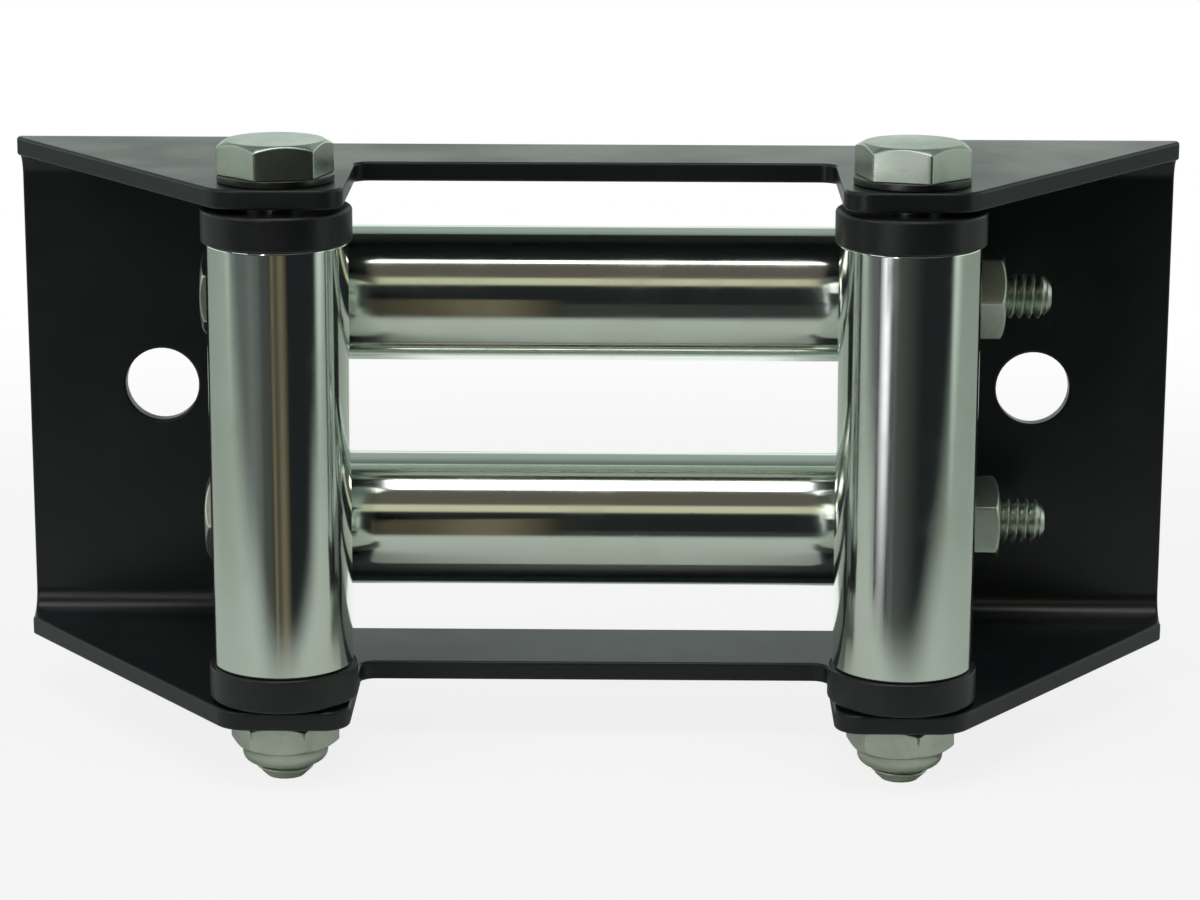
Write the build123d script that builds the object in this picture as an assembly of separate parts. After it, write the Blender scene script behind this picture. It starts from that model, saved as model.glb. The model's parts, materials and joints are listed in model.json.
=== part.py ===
from build123d import *
import math
import os

# Roller fairlead: a bent sheet-steel bracket that carries two upright rollers in front of two level ones.
# Millimetres. X runs along the fairlead, +Y points back into the surface it is bolted to, and Z is up.
# The origin lies on the back face, midway between the two mounting holes.

# Bracket
hole_spacing = 123.8
mounting_hole = 10.4
bracket_length = 161.6
bracket_height = 72.0
sheet = 2.6
inner_bend = 3.4
end_depth = 6.5
end_corner = 1.0
strip_front = 27.6
strip_rear = 11.0
recess_corner = 2.0
edge_round = 0.4

# Upright rollers, one at each side, and the ears of the flanges around their bolts
upright_x = 41.1
upright_y = 43.6
ear_front_margin = 7.9
ear_inner_margin = 9.1
ear_outer_margin = 6.9
ear_inner_corner = 3.5
ear_outer_corner = 5.0
seat_gap = 0.3

# Level rollers, one above the other, and the tabs of the back plate around their bolts
level_margin = 20.0
level_y = 15.6
tab_spacing = 93.2
tab_front_margin = 8.6
tab_end_margin = 9.2
tab_corner = 6.0
tab_bend = 2.2
bend_relief = 2.0
relief_corner = 1.0

# Tube and bushings, the same in every roller apart from their length and bore
tube_diameter = 18.5
tube_wall = 1.5
tube_edge = 0.4
roller_play = 1.0
bushing_flange = 4.5
bushing_lip = 0.6
bushing_edge = 0.5
spigot_length = 12.0
spigot_chamfer = 0.5

# Fasteners of the upright rollers
upright_bolt = 7.94
upright_head_flats = 13.4
upright_head = 4.4
upright_nut_flats = 12.7
upright_pitch = 1.41
upright_thread = 22.0
upright_tip = 2.0
upright_washer = 1.0
upright_washer_diameter = 15.2
lock_nut_hex = 4.0
lock_nut_collar = 2.3
collar_wall = 0.8
collar_round = 1.5
collar_lip = 0.5
insert_height = 1.3
insert_wall = 0.88

# Fasteners of the level rollers
level_bolt = 6.35
level_flats = 11.1
level_head = 3.7
level_pitch = 1.27
level_thread = 25.0
level_tip = 6.5
level_washer = 1.2
level_washer_diameter = 14.0
level_nut = 5.6

# Clearances, each on the radius
bolt_hole_clearance = 0.25
running_clearance = 0.05
press_clearance = 0.02

# Shares that shape every hexagon and thread, and how much thinner than its root a bolt ends
hex_face = 0.95
hex_chamfer_angle = 30
thread_depth = 0.61
bolt_point = 0.6

# How each hexagon is turned on its bolt, in degrees
left_head_turn = 15
right_head_turn = -16
left_nut_turn = 4
right_nut_turn = 14
upper_head_turn = 0
lower_head_turn = 30
upper_nut_turn = 30
lower_nut_turn = 0

half_length = bracket_length / 2
half_height = bracket_height / 2
outer_bend = inner_bend + sheet
tab_outer_bend = tab_bend + sheet
ear_reach = upright_y + ear_front_margin
ear_inner = upright_x - ear_inner_margin
ear_outer = upright_x + ear_outer_margin
level_z = half_height - level_margin
tab_inner = tab_spacing / 2
tab_outer = tab_inner + sheet
tab_reach = level_y + tab_front_margin
tab_half_height = level_z + tab_end_margin
tube_radius = tube_diameter / 2
tube_bore = tube_radius - tube_wall
lock_nut_bore = upright_bolt / 2 + running_clearance
insert_rim = lock_nut_bore + insert_wall


def near(shape, *places):
    """The corners of a flat shape that lie at the given places."""
    return [v for v in shape.vertices() for p in places if (Vector(*v) - Vector(*p)).length < 1e-4]


def turned(points, rounds=()):
    """A ring or rod turned about Z from (radius, height) points, with (point, radius) roundings."""
    face = Plane.XZ * make_face(Polyline(*points, close=True))
    for (r, z), size in rounds:
        face = fillet(near(face, (r, 0, z)), size)
    return revolve(face, Axis.Z)


def hexagon(flats, height, turn):
    """A six-sided prism on the XY plane, with a flat towards -Y before it is turned."""
    return extrude(RegularPolygon(flats / 2, 6, major_radius=False, rotation=turn), height)


def chamfered_hexagon(flats, height, turn, both_ends):
    """A hexagon whose corners are cut back to a round face on top, or on both ends."""
    corner = flats / 2 / math.cos(math.pi / 6) + running_clearance
    face = flats / 2 * hex_face
    drop = (corner - face) * math.tan(math.radians(hex_chamfer_angle))
    low = [(face, 0), (corner, drop)] if both_ends else [(corner, 0)]
    return hexagon(flats, height, turn) & turned([(0, 0)] + low + [(corner, height - drop), (face, height), (0, height)])


def plan_outline():
    """The outline of both flanges seen from above: slanting sides, two ears and the recess between them."""
    points = [(half_length, 0), (half_length, -end_depth), (ear_outer, -ear_reach), (ear_inner, -ear_reach),
              (ear_inner, -strip_front)]
    mirrored = [(-x, y) for x, y in reversed(points)]
    face = make_face(Polyline(*points, *mirrored, close=True))
    corners = ((half_length, end_depth, end_corner), (ear_outer, ear_reach, ear_outer_corner),
               (ear_inner, ear_reach, ear_inner_corner), (ear_inner, strip_front, recess_corner))
    for x, y, size in corners:
        face = fillet(near(face, (x, -y, 0), (-x, -y, 0)), size)
    return face


def channel():
    """The bent sheet before its window and holes are cut: a C section trimmed to the outline."""
    outer = [(0, -half_height), (0, half_height), (-ear_reach, half_height), (-ear_reach, half_height - sheet),
             (-sheet, half_height - sheet), (-sheet, sheet - half_height), (-ear_reach, sheet - half_height),
             (-ear_reach, -half_height)]
    section = make_face(Polyline(*outer, close=True))
    section = fillet(near(section, (0, half_height, 0), (0, -half_height, 0)), outer_bend)
    inside = half_height - sheet
    section = fillet(near(section, (-sheet, inside, 0), (-sheet, -inside, 0)), inner_bend)
    bar = extrude(Plane.YZ * section, half_length, both=True)
    return bar & extrude(plan_outline(), half_height, both=True)


def tab(side):
    """A tab folded forward from the window's side, with its bend, at side +1 or -1."""
    root = tab_outer + tab_outer_bend
    points = [(tab_inner, 0), (tab_inner, -tab_reach), (tab_outer, -tab_reach), (tab_outer, -sheet),
              (root, -sheet), (root, 0)]
    face = make_face(Polyline(*points, close=True))
    face = fillet(near(face, (tab_inner, 0, 0)), tab_outer_bend)
    face = fillet(near(face, (tab_outer, -sheet, 0)), tab_bend)
    body = extrude(face, tab_half_height, both=True)
    front = body.edges().filter_by(Axis.X).group_by(Axis.Y)[0]
    body = fillet(front, tab_corner)
    return body if side > 0 else mirror(body, Plane.YZ)


def sharp_edges(solid):
    """The edges where two faces meet at a clear angle, not smoothly."""
    faces_of = {}
    for face in solid.faces():
        for edge in face.edges():
            faces_of.setdefault(edge, []).append(face)
    sharp = []
    for edge, faces in faces_of.items():
        middle = edge.position_at(0.5)
        if len(faces) == 2 and faces[0].normal_at(middle).dot(faces[1].normal_at(middle)) < 0.5:
            sharp.append(edge)
    return sharp


def bracket():
    """The whole bracket: channel, window, tabs, mounting holes and bolt holes, with its edges rounded."""
    body = channel() - Box(2 * tab_inner, 2 * strip_rear, 2 * bracket_height)
    relief_end = tab_outer + tab_bend
    relief_top = tab_half_height + bend_relief
    body -= Box(2 * relief_end, 2 * tab_outer_bend, 2 * relief_top)
    corners = [edge for edge in body.edges().filter_by(Axis.Y)
               if abs(abs(edge.center().X) - tab_inner) < 1e-4 and abs(abs(edge.center().Z) - relief_top) < 1e-4]
    body = fillet(corners, relief_corner)
    body = body + tab(1) + tab(-1)
    for x, z in ((1, 1), (1, -1), (-1, 1), (-1, -1)):
        notch = Pos(x * relief_end, 0, z * (tab_half_height + bend_relief / 2)) * Rot(90, 0, 0)
        body -= notch * Cylinder(bend_relief / 2, 2 * tab_outer_bend)
    for x in (-hole_spacing / 2, hole_spacing / 2):
        body -= Pos(x, 0, 0) * Rot(90, 0, 0) * Cylinder(mounting_hole / 2, 4 * sheet)
    for x in (-upright_x, upright_x):
        body -= Pos(x, -upright_y, 0) * Cylinder(upright_bolt / 2 + bolt_hole_clearance, 2 * bracket_height)
    for z in (-level_z, level_z):
        body -= Pos(0, -level_y, z) * Rot(0, 90, 0) * Cylinder(level_bolt / 2 + bolt_hole_clearance, bracket_length)
    return fillet(sharp_edges(body), edge_round)


def tube(length):
    """A roller's steel tube, centred on the origin, with the outer edges of its ends rounded."""
    top = length / 2
    points = [(tube_bore, -top), (tube_radius, -top), (tube_radius, top), (tube_bore, top)]
    return turned(points, [((tube_radius, -top), tube_edge), ((tube_radius, top), tube_edge)])


def bushing(bolt):
    """A flanged bushing whose flange ends on the XY plane and whose spigot hangs below it."""
    bore = bolt / 2 + running_clearance
    flange = tube_radius + bushing_lip
    spigot = tube_bore - press_clearance
    foot = -bushing_flange - spigot_length
    points = [(bore, 0), (flange, 0), (flange, -bushing_flange), (spigot, -bushing_flange),
              (spigot, foot + spigot_chamfer), (spigot - spigot_chamfer, foot), (bore, foot)]
    return turned(points, [((flange, 0), bushing_edge), ((flange, -bushing_flange), bushing_edge / 2)])


def bolt(diameter, flats, head, length, pitch, thread, turn):
    """A hex bolt hanging from the XY plane: head above it, shank below, grooved where it is threaded."""
    radius = diameter / 2
    root = radius - thread_depth * pitch
    points = [(0, 0), (radius, 0)]
    turns = int(thread / pitch)
    start = -length + turns * pitch
    for i in range(turns - 1):
        top = start - i * pitch
        points += [(radius, top), (root, top - pitch / 2)]
    points += [(radius, -length + pitch), (root - bolt_point, -length), (0, -length)]
    return turned(points) + chamfered_hexagon(flats, head, turn, both_ends=False)


def washer(bolt_diameter, diameter, thickness):
    """A flat washer that rests on the XY plane."""
    bore = bolt_diameter / 2 + bolt_hole_clearance
    return turned([(bore, 0), (diameter / 2, 0), (diameter / 2, thickness), (bore, thickness)])


def hex_nut(bolt_diameter, flats, height, turn):
    """A plain hex nut that rests on the XY plane."""
    bore = Cylinder(bolt_diameter / 2 + running_clearance, 3 * height)
    return chamfered_hexagon(flats, height, turn, both_ends=True) - bore


def lock_nut(turn):
    """The lock nut of an upright bolt: hexagon on the XY plane, round collar above, a groove for its insert."""
    height = lock_nut_hex + lock_nut_collar
    collar = insert_rim + collar_wall
    body = chamfered_hexagon(upright_nut_flats, lock_nut_hex, turn, both_ends=True)
    points = [(0, lock_nut_hex / 2), (collar, lock_nut_hex / 2), (collar, height), (0, height)]
    body += turned(points, [((collar, height), collar_round)])
    body -= Cylinder(lock_nut_bore, 3 * height)
    floor = height - collar_lip - insert_height
    mouth = insert_rim - collar_lip
    groove = insert_rim + press_clearance
    return body - turned([(0, floor), (groove, floor), (groove, height - collar_lip), (mouth, height - collar_lip),
                          (mouth, height + 1), (0, height + 1)])


def nut_insert():
    """The nylon ring held in a lock nut's collar."""
    height = lock_nut_hex + lock_nut_collar
    top = height - collar_lip
    foot = top - insert_height
    return turned([(lock_nut_bore, foot), (insert_rim, foot), (insert_rim, top), (lock_nut_bore, top)])


def roller(span, low_gap, bolt_diameter):
    """Tube and two bushings of one roller between bracket faces span apart, centred on the origin."""
    length = span - roller_play - 2 * bushing_flange
    middle = low_gap - roller_play / 2
    end = length / 2 + bushing_flange
    piece = bushing(bolt_diameter)
    return {"tube": Pos(0, 0, middle) * tube(length),
            "head_end": Pos(0, 0, middle + end) * piece,
            "nut_end": Pos(0, 0, middle - end) * Rot(180, 0, 0) * piece}


def upright_set(side, head_turn, nut_turn):
    """Every piece of an upright roller on its bolt, head up, at side +1 or -1."""
    span = bracket_height - 2 * sheet
    length = bracket_height + upright_washer + lock_nut_hex + lock_nut_collar + upright_tip
    pieces = roller(span, seat_gap, upright_bolt)
    under = Pos(0, 0, -half_height) * Rot(180, 0, 0)
    pieces["washer"] = Pos(0, 0, half_height) * washer(upright_bolt, upright_washer_diameter, upright_washer)
    pieces["bolt"] = Pos(0, 0, half_height + upright_washer) * bolt(
        upright_bolt, upright_head_flats, upright_head, length, upright_pitch, upright_thread, head_turn)
    pieces["lock_nut"] = under * lock_nut(nut_turn)
    pieces["insert"] = under * nut_insert()
    place = Pos(side * upright_x, -upright_y, 0)
    return {name: place * piece for name, piece in pieces.items()}


def level_set(side, head_turn, nut_turn):
    """Every piece of a level roller on its bolt, head at -X, above (+1) or below (-1) the middle."""
    outside = tab_outer
    length = 2 * outside + 2 * level_washer + level_nut + level_tip
    pieces = roller(tab_spacing, roller_play / 2, level_bolt)
    ring = washer(level_bolt, level_washer_diameter, level_washer)
    beyond = Pos(0, 0, -outside) * Rot(180, 0, 0)
    pieces["head_washer"] = Pos(0, 0, outside) * ring
    pieces["nut_washer"] = beyond * ring
    pieces["bolt"] = Pos(0, 0, outside + level_washer) * bolt(
        level_bolt, level_flats, level_head, length, level_pitch, level_thread, head_turn)
    pieces["nut"] = beyond * Pos(0, 0, level_washer) * hex_nut(level_bolt, level_flats, level_nut, nut_turn)
    place = Pos(0, -level_y, side * level_z) * Rot(0, -90, 0)
    return {name: place * piece for name, piece in pieces.items()}


upright_names = {"tube": "roller_tube", "head_end": "top_bushing", "nut_end": "bottom_bushing",
                 "washer": "bolt_washer", "bolt": "roller_bolt", "lock_nut": "lock_nut", "insert": "lock_nut_insert"}
level_names = {"tube": "roller_tube", "head_end": "left_bushing", "nut_end": "right_bushing",
               "head_washer": "head_washer", "nut_washer": "nut_washer", "bolt": "roller_bolt", "nut": "hex_nut"}

nodes = {"bracket": bracket()}
for place_name, names, pieces in (
        ("left", upright_names, upright_set(-1, left_head_turn, left_nut_turn)),
        ("right", upright_names, upright_set(1, right_head_turn, right_nut_turn)),
        ("upper", level_names, level_set(1, upper_head_turn, upper_nut_turn)),
        ("lower", level_names, level_set(-1, lower_head_turn, lower_nut_turn))):
    for key, name in names.items():
        nodes[f"{place_name}_{name}"] = pieces[key]

os.makedirs("parts", exist_ok=True)
for name, piece in nodes.items():
    export_step(piece, f"parts/{name}.step")
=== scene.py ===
import json
import math
import bmesh
import bpy
import numpy as np
from mathutils import Matrix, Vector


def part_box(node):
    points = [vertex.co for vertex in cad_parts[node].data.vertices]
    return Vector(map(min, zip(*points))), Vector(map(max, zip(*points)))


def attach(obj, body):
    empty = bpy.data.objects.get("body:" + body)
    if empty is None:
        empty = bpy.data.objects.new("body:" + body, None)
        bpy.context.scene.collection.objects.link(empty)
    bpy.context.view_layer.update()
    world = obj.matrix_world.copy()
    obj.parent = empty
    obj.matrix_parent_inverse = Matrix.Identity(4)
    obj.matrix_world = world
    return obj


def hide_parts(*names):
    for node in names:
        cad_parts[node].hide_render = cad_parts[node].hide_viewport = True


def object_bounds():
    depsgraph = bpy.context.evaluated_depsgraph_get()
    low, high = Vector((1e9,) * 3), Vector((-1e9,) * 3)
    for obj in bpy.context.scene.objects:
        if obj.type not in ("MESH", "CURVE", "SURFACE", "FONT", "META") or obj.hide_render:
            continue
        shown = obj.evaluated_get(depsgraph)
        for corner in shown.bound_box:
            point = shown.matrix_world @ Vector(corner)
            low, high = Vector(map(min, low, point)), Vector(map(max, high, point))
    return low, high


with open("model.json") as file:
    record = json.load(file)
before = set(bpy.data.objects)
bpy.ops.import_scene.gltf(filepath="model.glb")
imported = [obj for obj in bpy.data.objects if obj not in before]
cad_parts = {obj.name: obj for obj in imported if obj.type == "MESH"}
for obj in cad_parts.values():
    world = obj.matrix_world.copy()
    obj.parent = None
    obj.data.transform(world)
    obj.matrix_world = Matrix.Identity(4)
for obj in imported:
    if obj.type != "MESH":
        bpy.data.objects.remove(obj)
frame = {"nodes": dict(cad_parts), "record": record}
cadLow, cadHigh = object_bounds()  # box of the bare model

mm = 0.001
record = frame["record"]
nodeBody = {node: body for body, nodes in record["behaviour"]["bodies"].items() for node in nodes}


# Geometry helpers

mergeDistance = 1e-7    # m: points nearer than this are one point
normalWeight = 80       # how strongly large faces lead the shading of a rounded edge


# A grid of points, rows by columns, becomes a closed skin. Columns wrap round the axis. Rows wrap too when
# the outline is a loop, and otherwise the first and last row have shrunk to one point each and are merged
# there.
def skin(name, points, loop=True):
    rows, columns = points.shape[:2]
    index = np.arange(rows * columns).reshape(rows, columns)
    here = index if loop else index[:-1]
    below = np.roll(index, -1, axis=0) if loop else index[1:]
    quads = np.stack([here, np.roll(here, -1, axis=1), np.roll(below, -1, axis=1), below], axis=-1)
    mesh = bpy.data.meshes.new(name)
    mesh.from_pydata(points.reshape(-1, 3).tolist(), [], quads.reshape(-1, 4).tolist())
    work = bmesh.new()
    work.from_mesh(mesh)
    bmesh.ops.remove_doubles(work, verts=work.verts, dist=mergeDistance)
    bmesh.ops.recalc_face_normals(work, faces=work.faces)
    work.to_mesh(mesh)
    work.free()
    mesh.shade_smooth()
    piece = bpy.data.objects.new(name, mesh)
    bpy.context.scene.collection.objects.link(piece)
    weighted = piece.modifiers.new("evenShading", "WEIGHTED_NORMAL")
    weighted.weight = normalWeight
    weighted.keep_sharp = True
    return piece


# Evenly spaced angles round the axis.
def roundAngles(columns):
    return np.linspace(0, 2 * np.pi, columns, endpoint=False)


# Rows of (radius, height) round the Z axis, each a number or one value per angle. A point lies at the
# radius times the cosine and the sine of its angle.
def aroundAxis(rows, angles):
    radius = np.stack([np.broadcast_to(r, angles.shape) for r, z in rows])
    height = np.stack([np.broadcast_to(z, angles.shape) for r, z in rows])
    return np.stack([radius * np.cos(angles), radius * np.sin(angles), height], axis=-1)


# An outline with rounded corners. Each corner (radius, height, rounding) becomes an arc: its centre lies on
# the corner's bisector, and the arc turns from one touching point to the other at an even rate.
def roundedOutline(corners, steps=5):
    corners = np.array(corners, float)
    place, rounding = corners[:, :2], corners[:, 2:]
    before = np.roll(place, 1, axis=0) - place
    after = np.roll(place, -1, axis=0) - place
    before /= np.linalg.norm(before, axis=1, keepdims=True)
    after /= np.linalg.norm(after, axis=1, keepdims=True)
    half = np.arccos(np.clip((before * after).sum(axis=1, keepdims=True), -1, 1)) / 2
    bisector = (before + after) / np.linalg.norm(before + after, axis=1, keepdims=True)
    centre = place + bisector * rounding / np.sin(half)
    start = place + before * rounding / np.tan(half) - centre
    end = place + after * rounding / np.tan(half) - centre
    swing = np.pi - 2 * half
    share = np.linspace(0, 1, steps)[None, :, None]
    fromStart = np.sin((1 - share) * swing[:, None]) * start[:, None]
    toEnd = np.sin(share * swing[:, None]) * end[:, None]
    return (centre[:, None] + (fromStart + toEnd) / np.sin(swing[:, None])).reshape(-1, 2)


# Moves points from a piece's own frame, Z along its bolt with the head up, to the place of an upright or a
# level bolt. A flipped piece is first turned half a turn about X.
def putOnBolt(points, origin, level, flipped=False):
    if flipped:
        points = points * np.array([1, -1, -1])
    if level:
        points = np.stack([-points[..., 2], points[..., 1], points[..., 0]], axis=-1)
    return points + np.array(origin)


# Middle of a node's box, its ends along the bolt, and its reach across it.
def nodeSize(node, level):
    low, high = (np.array(corner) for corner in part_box(node))
    along = 0 if level else 2
    return {"centre": (low + high) / 2, "low": low[along], "high": high[along], "across": (high - low)[1]}


# Gives the piece its material, rides it on its node's body, and hides the node it stands for.
def dress(piece, node, material):
    piece.data.materials.append(material)
    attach(piece, nodeBody[node])
    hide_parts(node)


# Shader helpers

plainWhite = (1, 1, 1, 1)


# A new node, with values for its inputs by name or number.
def addNode(tree, kind, inputs=None, **settings):
    node = tree.nodes.new(kind)
    for key, value in settings.items():
        setattr(node, key, value)
    for key, value in (inputs or {}).items():
        if isinstance(value, bpy.types.NodeSocket):
            tree.links.new(value, node.inputs[key])
        else:
            node.inputs[key].default_value = value
    return node


# One arithmetic step on sockets or numbers.
def maths(tree, operation, *values):
    return addNode(tree, "ShaderNodeMath", dict(enumerate(values)), operation=operation).outputs[0]


# A value carried from one range to another, with soft ends.
def softStep(tree, value, low, high, toLow=0.0, toHigh=1.0):
    node = addNode(tree, "ShaderNodeMapRange", {0: value, 1: low, 2: high, 3: toLow, 4: toHigh},
                   interpolation_type="SMOOTHSTEP")
    return node.outputs[0]


# A value that is 1 between two limits, with soft ends.
def band(tree, value, low, high, soft):
    rise = softStep(tree, value, low - soft, low + soft)
    fall = softStep(tree, value, high - soft, high + soft, 1.0, 0.0)
    return maths(tree, "MULTIPLY", rise, fall)


# Two colours mixed by a factor.
def mixColour(tree, factor, first, second):
    node = addNode(tree, "ShaderNodeMix", {0: factor, 6: first, 7: second}, data_type="RGBA")
    return node.outputs[2]


# An empty group with named inputs and outputs.
def newGroup(name, inputs, outputs):
    tree = bpy.data.node_groups.new(name, "ShaderNodeTree")
    for label, kind, value in inputs:
        socket = tree.interface.new_socket(label, in_out="INPUT", socket_type=kind)
        if value is not None:
            socket.default_value = value
    for label, kind in outputs:
        tree.interface.new_socket(label, in_out="OUTPUT", socket_type=kind)
    return tree, tree.nodes.new("NodeGroupInput"), tree.nodes.new("NodeGroupOutput")


# A group placed in a material with its own values.
def useGroup(tree, group, inputs):
    return addNode(tree, "ShaderNodeGroup", inputs, node_tree=group)


# An empty material, its Object coordinates and its output.
def emptyMaterial(name):
    material = bpy.data.materials.new(name)
    material.use_nodes = True
    tree = material.node_tree
    tree.nodes.clear()
    place = tree.nodes.new("ShaderNodeTexCoord").outputs["Object"]
    output = tree.nodes.new("ShaderNodeOutputMaterial")
    return material, tree, place, output


# A material with its Principled shader. What is the same all over the surface is set on the shader's own
# sockets.
def newMaterial(name, **fixed):
    material, tree, place, output = emptyMaterial(name)
    shader = tree.nodes.new("ShaderNodeBsdfPrincipled")
    tree.links.new(shader.outputs[0], output.inputs[0])
    for label, value in fixed.items():
        shader.inputs[label.replace("_", " ")].default_value = value
    return material, tree, shader, place


# Feeds a height through a Bump node to the shader's normal.
def bumpInto(tree, shader, height, distance):
    bump = addNode(tree, "ShaderNodeBump", {"Strength": 1.0, "Distance": distance, "Height": height})
    tree.links.new(bump.outputs[0], shader.inputs["Normal"])


# Effects that several finishes share

grainSpec = {
    "coarseDetail": 2.0,
    "finerBy": 3.7,          # scale of the fine noise over that of the coarse one
    "fineDetail": 1.0,
    "widerBy": 0.06,         # scale of the slow cloud over that of the coarse noise
    "cloudDetail": 4.0,
    "cloudRoughness": 0.6,
}


# Skin grain: two sizes of noise added, the finer one weaker. It gives a height and a slow cloud.
def makeGrain():
    tree, given, result = newGroup(
        "skinGrain",
        [("Vector", "NodeSocketVector", None), ("Scale", "NodeSocketFloat", 800.0),
         ("Fine Share", "NodeSocketFloat", 0.3)],
        [("Height", "NodeSocketFloat"), ("Cloud", "NodeSocketFloat")])
    place, scale, fineShare = given.outputs[0], given.outputs[1], given.outputs[2]
    coarse = addNode(tree, "ShaderNodeTexNoise",
                     {"Vector": place, "Scale": scale, "Detail": grainSpec["coarseDetail"]})
    finer = maths(tree, "MULTIPLY", scale, grainSpec["finerBy"])
    fine = addNode(tree, "ShaderNodeTexNoise",
                   {"Vector": place, "Scale": finer, "Detail": grainSpec["fineDetail"]})
    height = maths(tree, "MULTIPLY_ADD", fine.outputs[0], fineShare, coarse.outputs[0])
    wider = maths(tree, "MULTIPLY", scale, grainSpec["widerBy"])
    cloud = addNode(tree, "ShaderNodeTexNoise",
                    {"Vector": place, "Scale": wider, "Detail": grainSpec["cloudDetail"],
                     "Roughness": grainSpec["cloudRoughness"]})
    tree.links.new(height, result.inputs[0])
    tree.links.new(cloud.outputs[0], result.inputs[1])
    return tree


markSpec = {
    "detail": 5.0,
    "roughness": 0.65,
    "distortion": 0.6,
    "smearFrom": (0.42, 0.72),   # the part of the cloud that shows as a smear
    "speckPicked": (0.86, 0.9),  # only cells whose own value is above this hold a speck,
    "speckEdge": (0.22, 0.12),   # which fades in between these shares of a cell from its middle
}


# Handling marks: smears where the cloud passes a threshold, and small sharp specks in a few cells.
def makeMarks():
    tree, given, result = newGroup(
        "handlingMarks",
        [("Vector", "NodeSocketVector", None), ("Smear Scale", "NodeSocketFloat", 60.0),
         ("Speck Scale", "NodeSocketFloat", 500.0)],
        [("Smear", "NodeSocketFloat"), ("Speck", "NodeSocketFloat")])
    place, smearScale, speckScale = given.outputs[0], given.outputs[1], given.outputs[2]
    cloud = addNode(tree, "ShaderNodeTexNoise",
                    {"Vector": place, "Scale": smearScale, "Detail": markSpec["detail"],
                     "Roughness": markSpec["roughness"], "Distortion": markSpec["distortion"]})
    cells = addNode(tree, "ShaderNodeTexVoronoi", {"Vector": place, "Scale": speckScale})
    cellValue = addNode(tree, "ShaderNodeSeparateColor", {0: cells.outputs["Color"]}).outputs[0]
    chosen = softStep(tree, cellValue, *markSpec["speckPicked"])
    dot = softStep(tree, cells.outputs["Distance"], *markSpec["speckEdge"])
    tree.links.new(softStep(tree, cloud.outputs[0], *markSpec["smearFrom"]), result.inputs[0])
    tree.links.new(maths(tree, "MULTIPLY", dot, chosen), result.inputs[1])
    return tree


grain = makeGrain()
marks = makeMarks()


# Finishes

cloudRange = (0.3, 0.7)  # the part of a noise's range over which a finish changes

blackCoatLook = {
    "colour": (0.0100, 0.0124, 0.0156, 1),
    "markColour": (0.030, 0.034, 0.036, 1),
    "roughness": (0.27, 0.36),
    "grainScale": 620.0,     # per metre: the orange peel of powder coat is about 1.6 mm wide
    "grainDepth": 0.006 * mm,
    "fineShare": 0.25,
    "smearScale": 34.0,
    "speckScale": 420.0,
    "smearShare": 0.22,
    "speckShare": 0.25,
    "specular": 0.42,
}

# Zinc plate: a soft metal with a cloudy passivated film and a fine cast grain.
zincLook = {
    "grainScale": 900.0,
    "grainDepth": 0.012 * mm,
    "fineShare": 0.6,
    "smearScale": 140.0,
    "speckScale": 900.0,
    "smearShare": 0.6,
    "speckShare": 0.4,
}
brightZincLook = {
    **zincLook,
    "colour": (0.60, 0.655, 0.59, 1),
    "markColour": (0.44, 0.48, 0.41, 1),
    "roughness": (0.26, 0.4),
}
darkZincLook = {
    **zincLook,
    "colour": (0.09, 0.10, 0.09, 1),
    "markColour": (0.05, 0.055, 0.05, 1),
    "roughness": (0.3, 0.45),
}

# Moulded nylon: an even eggshell skin with faint flow clouds.
nylonLook = {
    "grainScale": 1700.0,
    "grainDepth": 0.008 * mm,
    "fineShare": 0.5,
    "smearScale": 90.0,
    "speckScale": 700.0,
    "smearShare": 0.4,
    "speckShare": 0.35,
}
blackNylonLook = {
    **nylonLook,
    "colour": (0.0100, 0.0112, 0.0128, 1),
    "markColour": (0.022, 0.024, 0.027, 1),
    "roughness": (0.30, 0.42),
}
paleNylonLook = {
    **nylonLook,
    "colour": (0.72, 0.73, 0.70, 1),
    "markColour": (0.62, 0.62, 0.58, 1),
    "roughness": (0.4, 0.5),
}


# A coated, plated or moulded skin. Its colour goes over to that of the marks by the share of the smears
# plus that of the specks, its roughness follows the grain's slow cloud, and the grain's height raises it.
def grainedMaterial(name, look, **fixed):
    material, tree, shader, place = newMaterial(name, **fixed)
    texture = useGroup(tree, grain,
                       {"Vector": place, "Scale": look["grainScale"], "Fine Share": look["fineShare"]})
    mark = useGroup(tree, marks,
                    {"Vector": place, "Smear Scale": look["smearScale"], "Speck Scale": look["speckScale"]})
    smears = maths(tree, "MULTIPLY", mark.outputs["Smear"], look["smearShare"])
    cover = maths(tree, "MULTIPLY_ADD", mark.outputs["Speck"], look["speckShare"], smears)
    colour = mixColour(tree, cover, look["colour"], look["markColour"])
    roughness = softStep(tree, texture.outputs["Cloud"], *cloudRange, *look["roughness"])
    tree.links.new(colour, shader.inputs["Base Color"])
    tree.links.new(roughness, shader.inputs["Roughness"])
    bumpInto(tree, shader, texture.outputs["Height"], look["grainDepth"])
    return material


platedTubeLook = {
    "colour": (0.78, 0.835, 0.785, 1),
    "stainColour": (0.64, 0.68, 0.61, 1),
    "stainShare": 0.35,
    "roughness": (0.09, 0.15),
    "lineScale": 1500.0,     # per metre round the tube, for the fine lines left by drawing it
    "lineStretch": 0.02,     # and this share of it along the tube
    "lineDepth": 0.0006 * mm,
    "fineShare": 0.5,
    "smearScale": 55.0,
    "speckScale": 520.0,
    "pitDepth": -3.0,        # depth of a speck's pit over that of the lines
}


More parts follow.
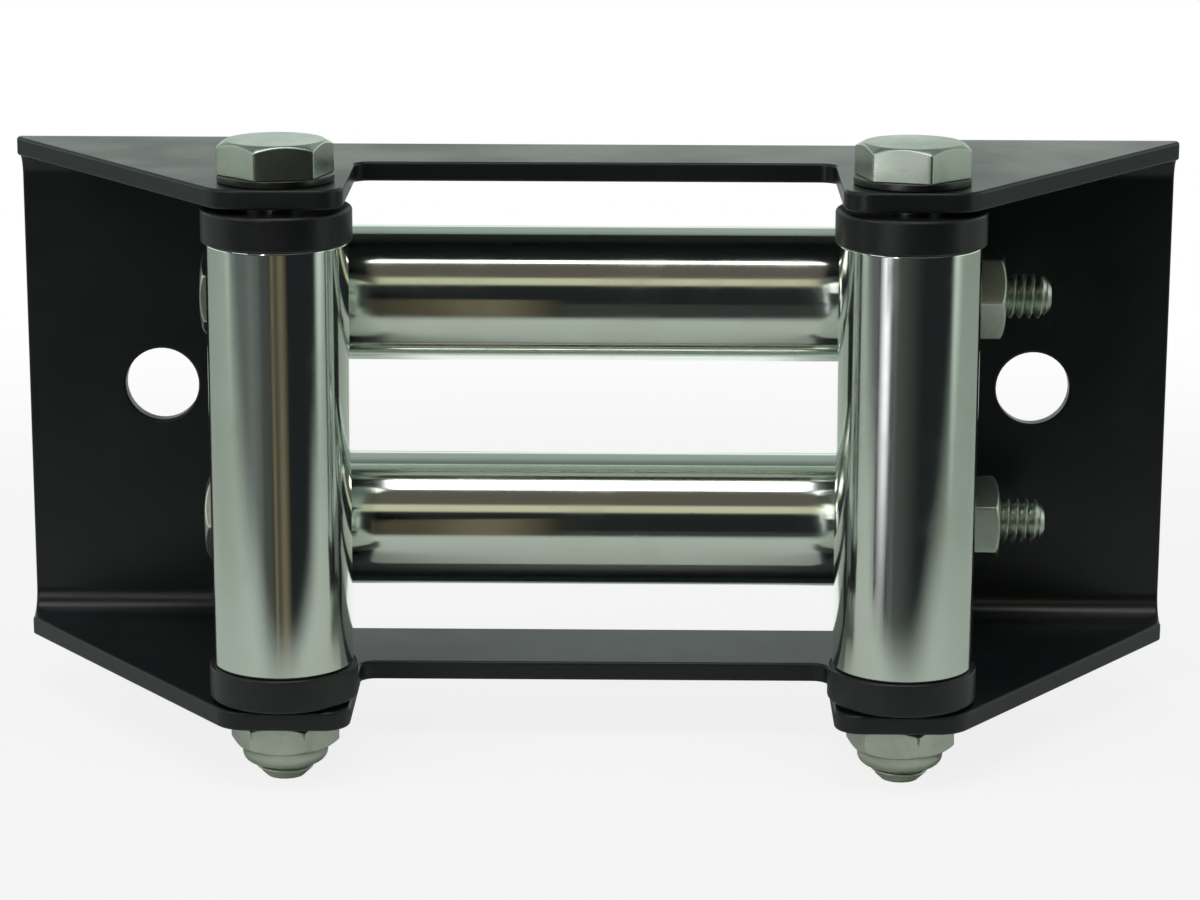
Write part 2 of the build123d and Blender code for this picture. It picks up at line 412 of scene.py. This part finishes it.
# Bright plated tube: stained and a little rougher under the smears, with fine lines drawn out along the
# tube and a pit at each speck.
def platedTubeMaterial(level):
    look = platedTubeLook
    material, tree, shader, place = newMaterial("platedTubeLevel" if level else "platedTube", Metallic=1.0)
    stretch = (look["lineStretch"], 1, 1) if level else (1, 1, look["lineStretch"])
    drawn = addNode(tree, "ShaderNodeMapping", {"Vector": place, "Scale": stretch}).outputs[0]
    lines = useGroup(tree, grain,
                     {"Vector": drawn, "Scale": look["lineScale"], "Fine Share": look["fineShare"]})
    mark = useGroup(tree, marks,
                    {"Vector": place, "Smear Scale": look["smearScale"], "Speck Scale": look["speckScale"]})
    stain = maths(tree, "MULTIPLY", mark.outputs["Smear"], look["stainShare"])
    colour = mixColour(tree, stain, look["colour"], look["stainColour"])
    roughness = softStep(tree, mark.outputs["Smear"], 0.0, 1.0, *look["roughness"])
    pits = maths(tree, "MULTIPLY_ADD", mark.outputs["Speck"], look["pitDepth"], lines.outputs["Height"])
    tree.links.new(colour, shader.inputs["Base Color"])
    tree.links.new(roughness, shader.inputs["Roughness"])
    bumpInto(tree, shader, pits, look["lineDepth"])
    return material


blackCoat = grainedMaterial("blackCoat", blackCoatLook, Specular_IOR_Level=blackCoatLook["specular"])
platedTube = {"upright": platedTubeMaterial(False), "level": platedTubeMaterial(True)}
brightZinc = grainedMaterial("brightZinc", brightZincLook, Metallic=1.0)
darkZinc = grainedMaterial("darkZinc", darkZincLook, Metallic=1.0)
blackNylon = grainedMaterial("blackNylon", blackNylonLook)
paleNylon = grainedMaterial("paleNylon", paleNylonLook)
print("materials made")


# Rollers

tubeSpec = {"wall": 1.5 * mm, "outerEdge": 0.4 * mm, "innerEdge": 0.25 * mm, "columns": 192}


# The tube is a rounded rectangle, wall by length, turned round the roller's axis.
def rollerTube(place, level):
    node = f"{place}_roller_tube"
    size = nodeSize(node, level)
    outer, half = size["across"] / 2, (size["high"] - size["low"]) / 2
    inner = outer - tubeSpec["wall"]
    outline = roundedOutline([(inner, -half, tubeSpec["innerEdge"]), (outer, -half, tubeSpec["outerEdge"]),
                              (outer, half, tubeSpec["outerEdge"]), (inner, half, tubeSpec["innerEdge"])])
    points = aroundAxis(outline, roundAngles(tubeSpec["columns"]))
    piece = skin(f"{place}RollerTube", putOnBolt(points, size["centre"], level))
    dress(piece, node, platedTube["level" if level else "upright"])


bushingSpec = {
    "flange": 4.5 * mm,
    "lip": 0.6 * mm,             # how far the flange stands out past the tube
    "edge": 0.5 * mm,
    "underEdge": 0.25 * mm,
    "boreEdge": 0.3 * mm,
    "spigotEdge": 0.05 * mm,
    "boreClearance": 0.05 * mm,
    "tubeClearance": 0.02 * mm,
    "chamfer": 0.5 * mm,
    "columns": 128,
}


# The bushing is one outline turned round the bolt: bore, chamfered spigot, shoulder and rim.
def bushing(place, end, level, boltDiameter, flipped):
    node = f"{place}_{end}_bushing"
    size = nodeSize(node, level)
    rim, half = size["across"] / 2, (size["high"] - size["low"]) / 2
    spigot = rim - bushingSpec["lip"] - tubeSpec["wall"] - bushingSpec["tubeClearance"]
    bore = boltDiameter / 2 + bushingSpec["boreClearance"]
    shoulder, chamfer = half - bushingSpec["flange"], bushingSpec["chamfer"]
    boreEdge, spigotEdge = bushingSpec["boreEdge"], bushingSpec["spigotEdge"]
    outline = roundedOutline([(bore, half, boreEdge), (bore, -half, boreEdge),
                              (spigot - chamfer, -half, spigotEdge), (spigot, chamfer - half, spigotEdge),
                              (spigot, shoulder, spigotEdge), (rim, shoulder, bushingSpec["underEdge"]),
                              (rim, half, bushingSpec["edge"])])
    points = aroundAxis(outline, roundAngles(bushingSpec["columns"]))
    piece = skin(f"{place}{end.capitalize()}Bushing", putOnBolt(points, size["centre"], level, flipped))
    dress(piece, node, blackNylon)


# Fasteners

uprightSpec = {
    "diameter": 7.94 * mm,
    "headFlats": 13.4 * mm,
    "head": 4.4 * mm,
    "nutFlats": 12.7 * mm,
    "pitch": 1.41 * mm,
    "thread": 22 * mm,
    "rowsPerPitch": 10,
    "headTurn": {"left": 15, "right": -16},     # degrees
    "nutTurn": {"left": 4, "right": 14},
}
levelSpec = {
    "diameter": 6.35 * mm,
    "headFlats": 11.1 * mm,
    "head": 3.7 * mm,
    "nutFlats": 11.1 * mm,
    "pitch": 1.27 * mm,
    "thread": 25 * mm,
    "rowsPerPitch": 14,
    "headTurn": {"upper": 0, "lower": 30},
    "nutTurn": {"upper": 30, "lower": 0},
}
hexSpec = {
    "faceShare": 0.95,       # the flat round face over the width over flats
    "chamfer": math.radians(30),
    "edge": 0.13 * mm,
    "sharpness": 110,        # of the six corners
    "crowding": 1.6,         # how strongly the angles crowd towards the corners
    "faceRows": 2,           # rows of an end that lie on its flat face
}


# Angles that crowd towards the six corners: each sixth is a signed power of its own parameter.
def hexAngles(turn, perSide):
    share = np.linspace(-1, 1, perSide, endpoint=False)
    sixth = np.radians(30) * np.sign(share) * np.abs(share) ** hexSpec["crowding"]
    corners = np.radians(turn - 60) + np.radians(60) * np.arange(6)
    return (corners[:, None] + sixth).ravel()


# Distance from the axis to a hexagon's side at each angle, with softened corners: half the width over flats
# divided by the p-norm of the cosines between the angle and the six sides.
def hexRadius(angles, flats, turn):
    power = hexSpec["sharpness"]
    sides = np.radians(turn - 90) + np.radians(60) * np.arange(6)
    facing = np.clip(np.cos(angles[:, None] - sides), 0, None)
    return flats / 2 / (facing ** power).sum(axis=1) ** (1 / power)


# One end of a hexagon: rows from the flat round face, down the chamfer cone to the side. The cone drops by
# the tangent of its angle for each step outwards, so its edge rises and falls with the six sides.
def hexEnd(flats, side, level, outwards):
    face = flats / 2 * hexSpec["faceShare"]
    edge, slope = hexSpec["edge"], math.tan(hexSpec["chamfer"])
    rim = np.maximum(side - edge, face + edge)
    return [(face - 2 * edge, level), (face - edge / 2, level),
            (face + edge / 2, level - outwards * edge / 2 * slope),
            (rim, level - outwards * (rim - face) * slope),
            (side, level - outwards * ((side - face) * slope + edge))]


threadSpec = {
    "depthShare": 0.61,      # depth over pitch
    "crestGain": 1.25,       # the wave is made steeper by this
    "crestCut": 0.1,         # and lowered by this, and then cut off flat
    "fadePitches": 1.5,
    "point": 0.6 * mm,       # how much thinner than its root a bolt ends
}


# A thread's radius at each angle and height: a triangle wave of height over pitch plus the turn, with
# flattened crests, that fades out at its start and is cut by a cone at the tip.
def threadRows(spec, length, angles):
    radius, pitch, point = spec["diameter"] / 2, spec["pitch"], threadSpec["point"]
    depth = threadSpec["depthShare"] * pitch
    count = int(spec["thread"] / pitch * spec["rowsPerPitch"])
    height = np.linspace(spec["thread"] - length, -length, count)[:, None]
    phase = height / pitch + angles[None, :] / (2 * np.pi)
    triangle = np.abs(2 * (phase - np.floor(phase)) - 1)
    wave = np.clip(threadSpec["crestGain"] * triangle - threadSpec["crestCut"], 0, 1)
    fade = np.clip((spec["thread"] - length - height) / (threadSpec["fadePitches"] * pitch), 0, 1)
    cone = radius - depth - point + np.maximum(height + length, 0) * (depth + point) / pitch
    surface = np.minimum(radius - depth * (1 - wave) * fade, cone)
    return [(surface[i], height[i, 0]) for i in range(count)]


boltSpec = {"fillet": 0.4 * mm, "columns": 14}  # where shank and head meet, and the angles for each side


# The bolt: head from its top face outwards and down, a small fillet under it, then the shank and its
# thread. The fillet's middle lies a quarter of its size from the shank and from the head.
def bolt(place, spec, level):
    node = f"{place}_roller_bolt"
    size = nodeSize(node, level)
    length = size["high"] - size["low"] - spec["head"]
    seat = size["low"] + spec["head"] if level else size["high"] - spec["head"]
    turn = spec["headTurn"][place]
    angles = hexAngles(turn, boltSpec["columns"])
    side = hexRadius(angles, spec["headFlats"], turn)
    edge, fillet, radius = hexSpec["edge"], boltSpec["fillet"], spec["diameter"] / 2
    rows = [(0.0, spec["head"])] + hexEnd(spec["headFlats"], side, spec["head"], 1)
    rows += [(side, edge), (side - edge, 0.0), (radius + fillet, 0.0),
             (radius + fillet / 4, -fillet / 4), (radius, -fillet)]
    rows += threadRows(spec, length, angles) + [(0.0, -length)]
    tube = nodeSize(f"{place}_roller_tube", level)["centre"]
    axis = (seat, tube[1], tube[2]) if level else (tube[0], tube[1], seat)
    piece = skin(f"{place}RollerBolt", putOnBolt(aroundAxis(rows, angles), axis, level), loop=False)
    dress(piece, node, brightZinc)


nutSpec = {"boreClearance": 0.05 * mm, "countersink": 0.5 * mm, "columns": 18}


# The plain nut: both hexagon ends, joined through the bore by a countersink at each side.
def hexNut(place, spec):
    node = f"{place}_hex_nut"
    size = nodeSize(node, True)
    height, turn = size["high"] - size["low"], spec["nutTurn"][place]
    angles = hexAngles(turn, nutSpec["columns"])
    side = hexRadius(angles, spec["nutFlats"], turn)
    bore, sink = spec["diameter"] / 2 + nutSpec["boreClearance"], nutSpec["countersink"]
    rows = [(bore, height - sink), (bore + sink, height)] + hexEnd(spec["nutFlats"], side, height, 1)
    rows += hexEnd(spec["nutFlats"], side, 0.0, -1)[::-1] + [(bore + sink, 0.0), (bore, sink)]
    seat = size["centre"].copy()
    seat[0] = size["low"]
    piece = skin(f"{place}HexNut", putOnBolt(aroundAxis(rows, angles), seat, True, flipped=True))
    dress(piece, node, brightZinc)


lockNutSpec = {
    "hexHeight": 4.0 * mm,
    "collarWall": 0.8 * mm,
    "collarRound": 1.5 * mm,
    "rollSteps": 7,              # steps of each rounding of the rolled rim
    "lip": 0.5 * mm,
    "lipEdge": 0.2 * mm,
    "sharpEdge": 0.02 * mm,
    "foot": 0.15 * mm,           # of the collar, where it meets the hexagon
    "insertHeight": 1.3 * mm,
    "insertWall": 0.88 * mm,
    "insertEdge": 0.15 * mm,
    "grooveClearance": 0.02 * mm,
}


# The lock nut: a hexagon, a round collar with a rolled rim on it, and a groove inside for the nylon ring.
# Of the rolled outline's four corners the last only gives the direction of the collar's side, and isn't
# kept.
def lockNut(place, spec):
    node = f"{place}_lock_nut"
    size = nodeSize(node, False)
    height, turn = size["high"] - size["low"], spec["nutTurn"][place]
    angles = hexAngles(turn, nutSpec["columns"])
    side = hexRadius(angles, spec["nutFlats"], turn)
    bore, sink = spec["diameter"] / 2 + nutSpec["boreClearance"], nutSpec["countersink"]
    ring = bore + lockNutSpec["insertWall"]
    collar, groove = ring + lockNutSpec["collarWall"], ring + lockNutSpec["grooveClearance"]
    lip, hexTop, foot = lockNutSpec["lip"], lockNutSpec["hexHeight"], lockNutSpec["foot"]
    sharp, steps = lockNutSpec["sharpEdge"], lockNutSpec["rollSteps"]
    mouth, ceiling = ring - lip, height - lip
    floor = ceiling - lockNutSpec["insertHeight"]
    rolled = roundedOutline([(mouth, ceiling, sharp), (mouth, height, lockNutSpec["lipEdge"]),
                             (collar, height, lockNutSpec["collarRound"]), (collar, hexTop, sharp)], steps)
    rows = [tuple(row) for row in rolled[:3 * steps]] + [(collar, hexTop + foot), (collar + foot, hexTop)]
    rows += hexEnd(spec["nutFlats"], side, hexTop, 1)[hexSpec["faceRows"]:]
    rows += hexEnd(spec["nutFlats"], side, 0.0, -1)[::-1]
    rows += [(bore + sink, 0.0), (bore, sink), (bore, floor), (groove, floor), (groove, ceiling)]
    tube = nodeSize(f"{place}_roller_tube", False)["centre"]
    seat = (tube[0], tube[1], size["high"])
    piece = skin(f"{place}LockNut", putOnBolt(aroundAxis(rows, angles), seat, False, flipped=True))
    dress(piece, node, brightZinc)


washerSpec = {"holeClearance": 0.25 * mm, "edge": 0.22 * mm, "columns": 96}


# A flat ring: a rounded rectangle turned round the bolt, with its bore's edges half as round as its rim's.
# It makes the washers and the nylon rings of the lock nuts.
def flatRing(name, node, level, bore, edge, material):
    size = nodeSize(node, level)
    outer, half = size["across"] / 2, (size["high"] - size["low"]) / 2
    outline = roundedOutline([(bore, -half, edge / 2), (outer, -half, edge),
                              (outer, half, edge / 2), (bore, half, edge / 2)])
    points = aroundAxis(outline, roundAngles(washerSpec["columns"]))
    piece = skin(name, putOnBolt(points, size["centre"], level))
    dress(piece, node, material)


for place in ("left", "right"):
    hole = uprightSpec["diameter"] / 2
    rollerTube(place, False)
    bushing(place, "top", False, uprightSpec["diameter"], flipped=False)
    bushing(place, "bottom", False, uprightSpec["diameter"], flipped=True)
    bolt(place, uprightSpec, False)
    lockNut(place, uprightSpec)
    flatRing(f"{place}BoltWasher", f"{place}_bolt_washer", False, hole + washerSpec["holeClearance"],
             washerSpec["edge"], darkZinc)
    flatRing(f"{place}LockNutInsert", f"{place}_lock_nut_insert", False, hole + nutSpec["boreClearance"],
             lockNutSpec["insertEdge"], paleNylon)
for place in ("upper", "lower"):
    hole = levelSpec["diameter"] / 2
    rollerTube(place, True)
    bushing(place, "left", True, levelSpec["diameter"], flipped=False)
    bushing(place, "right", True, levelSpec["diameter"], flipped=True)
    bolt(place, levelSpec, True)
    hexNut(place, levelSpec)
    for end in ("head", "nut"):
        flatRing(f"{place}{end.capitalize()}Washer", f"{place}_{end}_washer", True,
                 hole + washerSpec["holeClearance"], washerSpec["edge"], brightZinc)
print("rollers and fasteners made")


# Bracket: its solid stays as it is, and only gets its finish

bracketNode = frame["nodes"]["bracket"]
bracketNode.data.materials.clear()
bracketNode.data.materials.append(blackCoat)
print("bracket dressed")


# Studio

# Azimuths and elevations are in degrees. Azimuth is measured from the front, and grows towards the viewer's
# right.
roomSpec = {
    "dark": (0.015, 0.018, 0.019, 1),
    "dim": (0.070, 0.074, 0.071, 1),
    "grey": (0.118, 0.130, 0.128, 1),
    "light": (0.150, 0.163, 0.160, 1),
    "ceilingWarm": (0.60, 0.59, 0.41, 1),
    "ceilingBrown": (0.115, 0.10, 0.085, 1),
    "ceilingPale": (0.55, 0.57, 0.56, 1),
    "wallLow": (0.90, 1.0, 0.93, 1),
    "wallDim": (0.34, 0.395, 0.365, 1),
    "wallTop": (0.12, 0.155, 0.145, 1),
    "wallDims": (11.5, 18),          # elevations over which the wall behind goes from low to dim,
    "wallDarkens": (34, 60),         # and to its top
    "rightDarkens": (-24, 24),       # azimuths over which the low front goes from dim to dark,
    "leftGreys": (-28, -20),         # and from grey to those two
    "lightPatch": (-45, -33, 5),     # its light patch: two azimuths and the softness of its sides
    "lowDarkens": (-9, -7),          # elevations over which the low front gets dark,
    "ceilingStarts": (15, 20),       # over which it gives way to the high one,
    "ceilingWarms": (22, 26),        # and over which that is warm, then brown, then pale
    "ceilingBrowns": (34, 38),
    "ceilingPales": (76, 84),
    "front": (-80, 72, 7),           # two azimuths between which the front is seen, and their softness
}


# The world is white to the camera. For reflections and light it is a room worked out from the ray's
# direction: azimuth is the arc tangent of x over minus y, elevation the arc sine of z, and the two choose
# between soft bands. The front is dim, greyer to the left, and the wall behind is palest up to just above
# the horizon.
def makeWorld():
    world = bpy.data.worlds.new("studioWorld")
    bpy.context.scene.world = world
    world.use_nodes = True
    tree = world.node_tree
    tree.nodes.clear()
    room = roomSpec
    direction = tree.nodes.new("ShaderNodeTexCoord").outputs["Generated"]
    axes = addNode(tree, "ShaderNodeSeparateXYZ", {0: direction}).outputs
    toDegrees = 180 / math.pi
    forwards = maths(tree, "MULTIPLY", axes[1], -1.0)
    azimuth = maths(tree, "MULTIPLY", maths(tree, "ARCTAN2", axes[0], forwards), toDegrees)
    elevation = maths(tree, "MULTIPLY", maths(tree, "ARCSINE", axes[2]), toDegrees)

    wall = mixColour(tree, softStep(tree, elevation, *room["wallDims"]), room["wallLow"], room["wallDim"])
    wall = mixColour(tree, softStep(tree, elevation, *room["wallDarkens"]), wall, room["wallTop"])
    low = mixColour(tree, softStep(tree, azimuth, *room["rightDarkens"]), room["dim"], room["dark"])
    low = mixColour(tree, softStep(tree, azimuth, *room["leftGreys"], 1.0, 0.0), low, room["grey"])
    low = mixColour(tree, band(tree, azimuth, *room["lightPatch"]), low, room["light"])
    low = mixColour(tree, softStep(tree, elevation, *room["lowDarkens"]), low, room["dark"])
    warmth = softStep(tree, elevation, *room["ceilingWarms"])
    high = mixColour(tree, warmth, room["dark"], room["ceilingWarm"])
    high = mixColour(tree, softStep(tree, elevation, *room["ceilingBrowns"]), high, room["ceilingBrown"])
    high = mixColour(tree, softStep(tree, elevation, *room["ceilingPales"]), high, room["ceilingPale"])
    front = mixColour(tree, softStep(tree, elevation, *room["ceilingStarts"]), low, high)
    colour = mixColour(tree, band(tree, azimuth, *room["front"]), wall, front)
    seen = addNode(tree, "ShaderNodeLightPath").outputs["Is Camera Ray"]
    colour = mixColour(tree, seen, colour, plainWhite)
    background = addNode(tree, "ShaderNodeBackground", {"Color": colour, "Strength": 1.0})
    output = tree.nodes.new("ShaderNodeOutputWorld")
    tree.links.new(background.outputs[0], output.inputs[0])


# A flat sheet from its corners, with its material.
def stageSheet(name, corners, material):
    mesh = bpy.data.meshes.new(name)
    mesh.from_pydata([tuple(corner) for corner in corners], [], [(0, 1, 2, 3)])
    mesh.materials.append(material)
    sheet = bpy.data.objects.new(name, mesh)
    bpy.context.scene.collection.objects.link(sheet)
    return sheet


floorSpec = {
    "height": cadLow[2],
    "reach": 3.0,                           # m from the origin to each side
    "colour": (0.90, 0.94, 0.90, 1),
    "fibreColour": (0.8, 0.83, 0.8, 1),
    "fibreScale": 700.0,
    "fibreDetail": 3.0,
    "fibreShare": 0.03,
    "sideShadeColour": (0.66, 0.71, 0.66, 1),    # painted shade: the paper darker well to the side of the object,
    "sideShadeTurns": (0.05, 0.22),              # and how far out it goes over to that, in m
    "shadowTone": 0.84,                     # how far the camera sees plain white beside the object,
    "plainTurns": (0.12, 0.3),              # and where that goes over to nothing else, in m
    "whiteAside": (24 * mm, 38 * mm),       # where the white seen by a first mirror ends at the sides,
    "whiteBehind": (4 * mm, 22 * mm),       # and where it starts behind the origin
    "firstMirror": 1.5,                     # a glossy ray's depth is below this at the first mirror only
    "edgeMiddle": 114 * mm,                 # how far in front metal sees the paper end, in the middle,
    "edgeLeft": 145 * mm,                   # and at the left and the right of the rollers
    "edgeRight": 134 * mm,
    "edgeTurns": (45 * mm, 125 * mm),
    "edgeBlur": (17 * mm, 0.21),            # softness of that edge in the middle, and its growth sideways
}


# The floor's material: pale paper, with painted shade that makes it greyer to the sides. The camera sees it
# go over to plain white away from the object, and a first mirror sees plain white just behind the object.
# Metal sees past the paper's front edge, which lies further forward beside the object than in front of it,
# and is softer there: a ray passes by the distance in front of that edge over its softness.
def floorMaterial():
    look = floorSpec
    material, tree, place, output = emptyMaterial("paleSheet")
    axes = addNode(tree, "ShaderNodeSeparateXYZ", {0: place}).outputs
    path = tree.nodes.new("ShaderNodeLightPath").outputs
    aside = maths(tree, "ABSOLUTE", axes[0])

    fibre = addNode(tree, "ShaderNodeTexNoise",
                    {"Vector": place, "Scale": look["fibreScale"], "Detail": look["fibreDetail"]})
    tint = softStep(tree, fibre.outputs[0], *cloudRange, 0.0, look["fibreShare"])
    colour = mixColour(tree, tint, look["colour"], look["fibreColour"])
    # painted shade: the paper goes darker towards the sides
    colour = mixColour(tree, softStep(tree, aside, *look["sideShadeTurns"]), colour, look["sideShadeColour"])
    paper = addNode(tree, "ShaderNodeBsdfDiffuse", {"Color": colour})
    white = addNode(tree, "ShaderNodeEmission", {"Color": plainWhite, "Strength": 1.0})

    distance = addNode(tree, "ShaderNodeVectorMath", {0: place}, operation="LENGTH").outputs["Value"]
    fade = softStep(tree, distance, *look["plainTurns"], look["shadowTone"], 1.0)
    toCamera = maths(tree, "MULTIPLY", path["Is Camera Ray"], fade)
    between = softStep(tree, aside, *look["whiteAside"], 1.0, 0.0)
    behind = maths(tree, "MULTIPLY", softStep(tree, axes[1], *look["whiteBehind"]), between)
    firstRay = maths(tree, "LESS_THAN", path["Ray Depth"], look["firstMirror"])
    toMirror = maths(tree, "MULTIPLY", maths(tree, "MULTIPLY", path["Is Glossy Ray"], firstRay), behind)
    plain = maths(tree, "MAXIMUM", toCamera, toMirror)
    shown = addNode(tree, "ShaderNodeMixShader", {0: plain, 1: paper.outputs[0], 2: white.outputs[0]})

    near, far = look["edgeTurns"]
    middle = look["edgeMiddle"]
    leftStep = softStep(tree, axes[0], -near, -far, 0.0, look["edgeLeft"] - middle)
    rightStep = softStep(tree, axes[0], near, far, 0.0, look["edgeRight"] - middle)
    edge = maths(tree, "ADD", maths(tree, "ADD", leftStep, rightStep), middle)
    blur = maths(tree, "MULTIPLY_ADD", aside, look["edgeBlur"][1], look["edgeBlur"][0])
    inFront = maths(tree, "SUBTRACT", maths(tree, "MULTIPLY", axes[1], -1.0), edge)
    past = softStep(tree, maths(tree, "DIVIDE", inFront, blur), -1.0, 1.0)
    beyond = maths(tree, "MULTIPLY", path["Is Glossy Ray"], past)
    clear = addNode(tree, "ShaderNodeBsdfTransparent")
    seen = addNode(tree, "ShaderNodeMixShader", {0: beyond, 1: shown.outputs[0], 2: clear.outputs[0]})
    tree.links.new(seen.outputs[0], output.inputs[0])
    return material


# The floor is one square sheet under the object, wide enough to reach the edges of every view.
def makeFloor():
    reach, height = floorSpec["reach"], floorSpec["height"]
    corners = [(x * reach, y * reach, height) for x, y in ((-1, -1), (1, -1), (1, 1), (-1, 1))]
    stageSheet("floor", corners, floorMaterial())


# Cards that stand in front of the object and show only in metal, each nearly edge-on to one of the
# uprights. The pale one gives the right upright its streak, the head card lights the head of that upright's
# bolt, and the tan one gives the left upright its stripes. Each runs between two places seen from above,
# from its foot to its top, and glows from nothing to its full strength over its rise. Lengths are in mm.
# The hump is the power that narrows its glow, and the stripes have waves per metre, a height over the
# glow's, and a start in radians.
plainGlow = {"wavesPerMetre": 0.0, "wave": 0.0, "start": 0.0}
cardSpecs = {
    "paleCard": {
        **plainGlow, "from": (-41.2, -106), "to": (-41.2, -180), "foot": -75, "top": 14, "rise": (-70, -8),
        "colour": (0.97, 0.94, 1.0, 1), "strength": 1.36, "hump": 1.5},
    "headCard": {
        **plainGlow, "from": (-41.2, -140), "to": (-41.2, -250), "foot": -2, "top": 46, "rise": (-2, 12),
        "colour": (0.95, 1.0, 0.95, 1), "strength": 1.8, "hump": 0.4},
    "tanCard": {
        "from": (-7, -136.4), "to": (-67, -240), "foot": -90, "top": 14, "rise": (-110, -90),
        "colour": (0.158, 0.133, 0.090, 1), "strength": 0.85, "hump": 0.35,
        "wavesPerMetre": 18.1, "wave": 0.42, "start": 0.72},
}
edgeOnFade = (0.55, 0.82)  # a card's glow goes out over this part of Facing, 0 seen flat and 1 edge-on


# A card's glow: its colour, weaker towards its foot and its two upright edges, with soft upright stripes,
# and gone where the card is seen edge-on. The edges fade by a hump, four times the share along the card
# times what is left of it, raised to a power. The stripes are 1 plus a sine of the place along the card.
def cardMaterial(name, spec):
    material, tree, place, output = emptyMaterial(name)
    axes = addNode(tree, "ShaderNodeSeparateXYZ", {0: place}).outputs
    dark, bright = spec["rise"]
    rise = softStep(tree, axes[2], dark * mm, bright * mm)
    ends = {0: axes[1], 1: spec["from"][1] * mm, 2: spec["to"][1] * mm}
    along = addNode(tree, "ShaderNodeMapRange", ends).outputs[0]
    hump = maths(tree, "MULTIPLY", maths(tree, "MULTIPLY", along, 4.0), maths(tree, "SUBTRACT", 1.0, along))
    hump = maths(tree, "POWER", hump, spec["hump"])
    angle = maths(tree, "MULTIPLY_ADD", axes[1], spec["wavesPerMetre"] * 2 * math.pi, spec["start"])
    stripe = maths(tree, "MULTIPLY_ADD", maths(tree, "SINE", angle), spec["wave"], 1.0)
    stripe = maths(tree, "MULTIPLY", stripe, spec["strength"])
    power = maths(tree, "MULTIPLY", maths(tree, "MULTIPLY", rise, hump), stripe)
    edgeOn = addNode(tree, "ShaderNodeLayerWeight", {"Blend": 0.5}).outputs["Facing"]
    power = maths(tree, "MULTIPLY", power, softStep(tree, edgeOn, *edgeOnFade, 1.0, 0.0))
    glow = addNode(tree, "ShaderNodeEmission", {"Color": spec["colour"], "Strength": power})
    tree.links.new(glow.outputs[0], output.inputs[0])
    return material


# Each card is an upright rectangle between its two places, hidden from the camera and from plain light.
def makeCards():
    for name, spec in cardSpecs.items():
        (x0, y0), (x1, y1), low, high = spec["from"], spec["to"], spec["foot"], spec["top"]
        corners = np.array([(x0, y0, low), (x1, y1, low), (x1, y1, high), (x0, y0, high)]) * mm
        card = stageSheet(name, corners, cardMaterial(name, spec))
        card.visible_camera = card.visible_diffuse = card.visible_shadow = False


# Places and sizes in m, power in W.
lampSpecs = {
    "overheadSoftbox": {
        "place": (0.0, -0.27, 0.85), "aim": (0.0, -0.02, 0.0), "size": (0.7, 0.33), "power": 2.0},
    "leftFill": {
        "place": (-0.8, -0.5, 0.5), "aim": (0.0, 0.0, 0.0), "size": (0.5, 0.5), "power": 1.2},
    "frontStrip": {
        "place": (-0.16, -0.42, 0.16), "aim": (0.0, -0.04, 0.0), "size": (0.03, 0.2), "power": 0.10},
}


# Puts a lamp or camera at a place, with its own three axes along the given directions.
def standAt(thing, right, up, back, place):
    rows = np.column_stack([right, up, back, place])
    thing.matrix_world = Matrix(np.vstack([rows, (0, 0, 0, 1)]).tolist())


# An area lamp whose -Z axis points from its place to its aim. Its right lies level, so no lamp may hang
# straight above its aim.
def makeLamp(name, spec):
    data = bpy.data.lights.new(name, "AREA")
    data.shape = "RECTANGLE"
    data.size, data.size_y = spec["size"]
    data.energy = spec["power"]
    lamp = bpy.data.objects.new(name, data)
    bpy.context.scene.collection.objects.link(lamp)
    back = np.array(spec["place"]) - np.array(spec["aim"])
    back /= np.linalg.norm(back)
    right = np.cross((0, 0, 1), back)
    right /= np.linalg.norm(right)
    up = np.cross(back, right)
    lamp.visible_camera = False
    standAt(lamp, right, up, back, spec["place"])


cameraSpec = {
    "place": (5.945 * mm, -510.029 * mm, 111.492 * mm),
    "yaw": -0.619,           # degrees
    "pitch": 13.389,
    "roll": 0.164,
    "focalPixels": 3652.66,
    "imageWidth": 1200,
    "sensor": 36.0,          # mm
    "clipStart": 0.01,       # m
}


# The camera: forward comes from yaw and pitch, right lies level and square to it, up is their cross
# product, and right and up then turn by the roll. Its focal length in pixels over the image's width is that
# in mm over the sensor's.
def makeCamera():
    yaw, pitch, roll = (math.radians(cameraSpec[key]) for key in ("yaw", "pitch", "roll"))
    forward = np.array([math.sin(yaw) * math.cos(pitch), math.cos(yaw) * math.cos(pitch), -math.sin(pitch)])
    level = np.cross(forward, (0, 0, 1))
    level /= np.linalg.norm(level)
    high = np.cross(level, forward)
    right = math.cos(roll) * level + math.sin(roll) * high
    up = math.cos(roll) * high - math.sin(roll) * level
    data = bpy.data.cameras.new("camera")
    data.sensor_width = cameraSpec["sensor"]
    data.lens = cameraSpec["focalPixels"] / cameraSpec["imageWidth"] * cameraSpec["sensor"]
    data.clip_start = cameraSpec["clipStart"]
    camera = bpy.data.objects.new("camera", data)
    bpy.context.scene.collection.objects.link(camera)
    standAt(camera, right, up, -forward, cameraSpec["place"])
    bpy.context.scene.camera = camera


makeWorld()
makeFloor()
makeCards()
for lampName, lampSpec in lampSpecs.items():
    makeLamp(lampName, lampSpec)
makeCamera()
bpy.context.scene.view_settings.view_transform = "Standard"
print("studio ready")
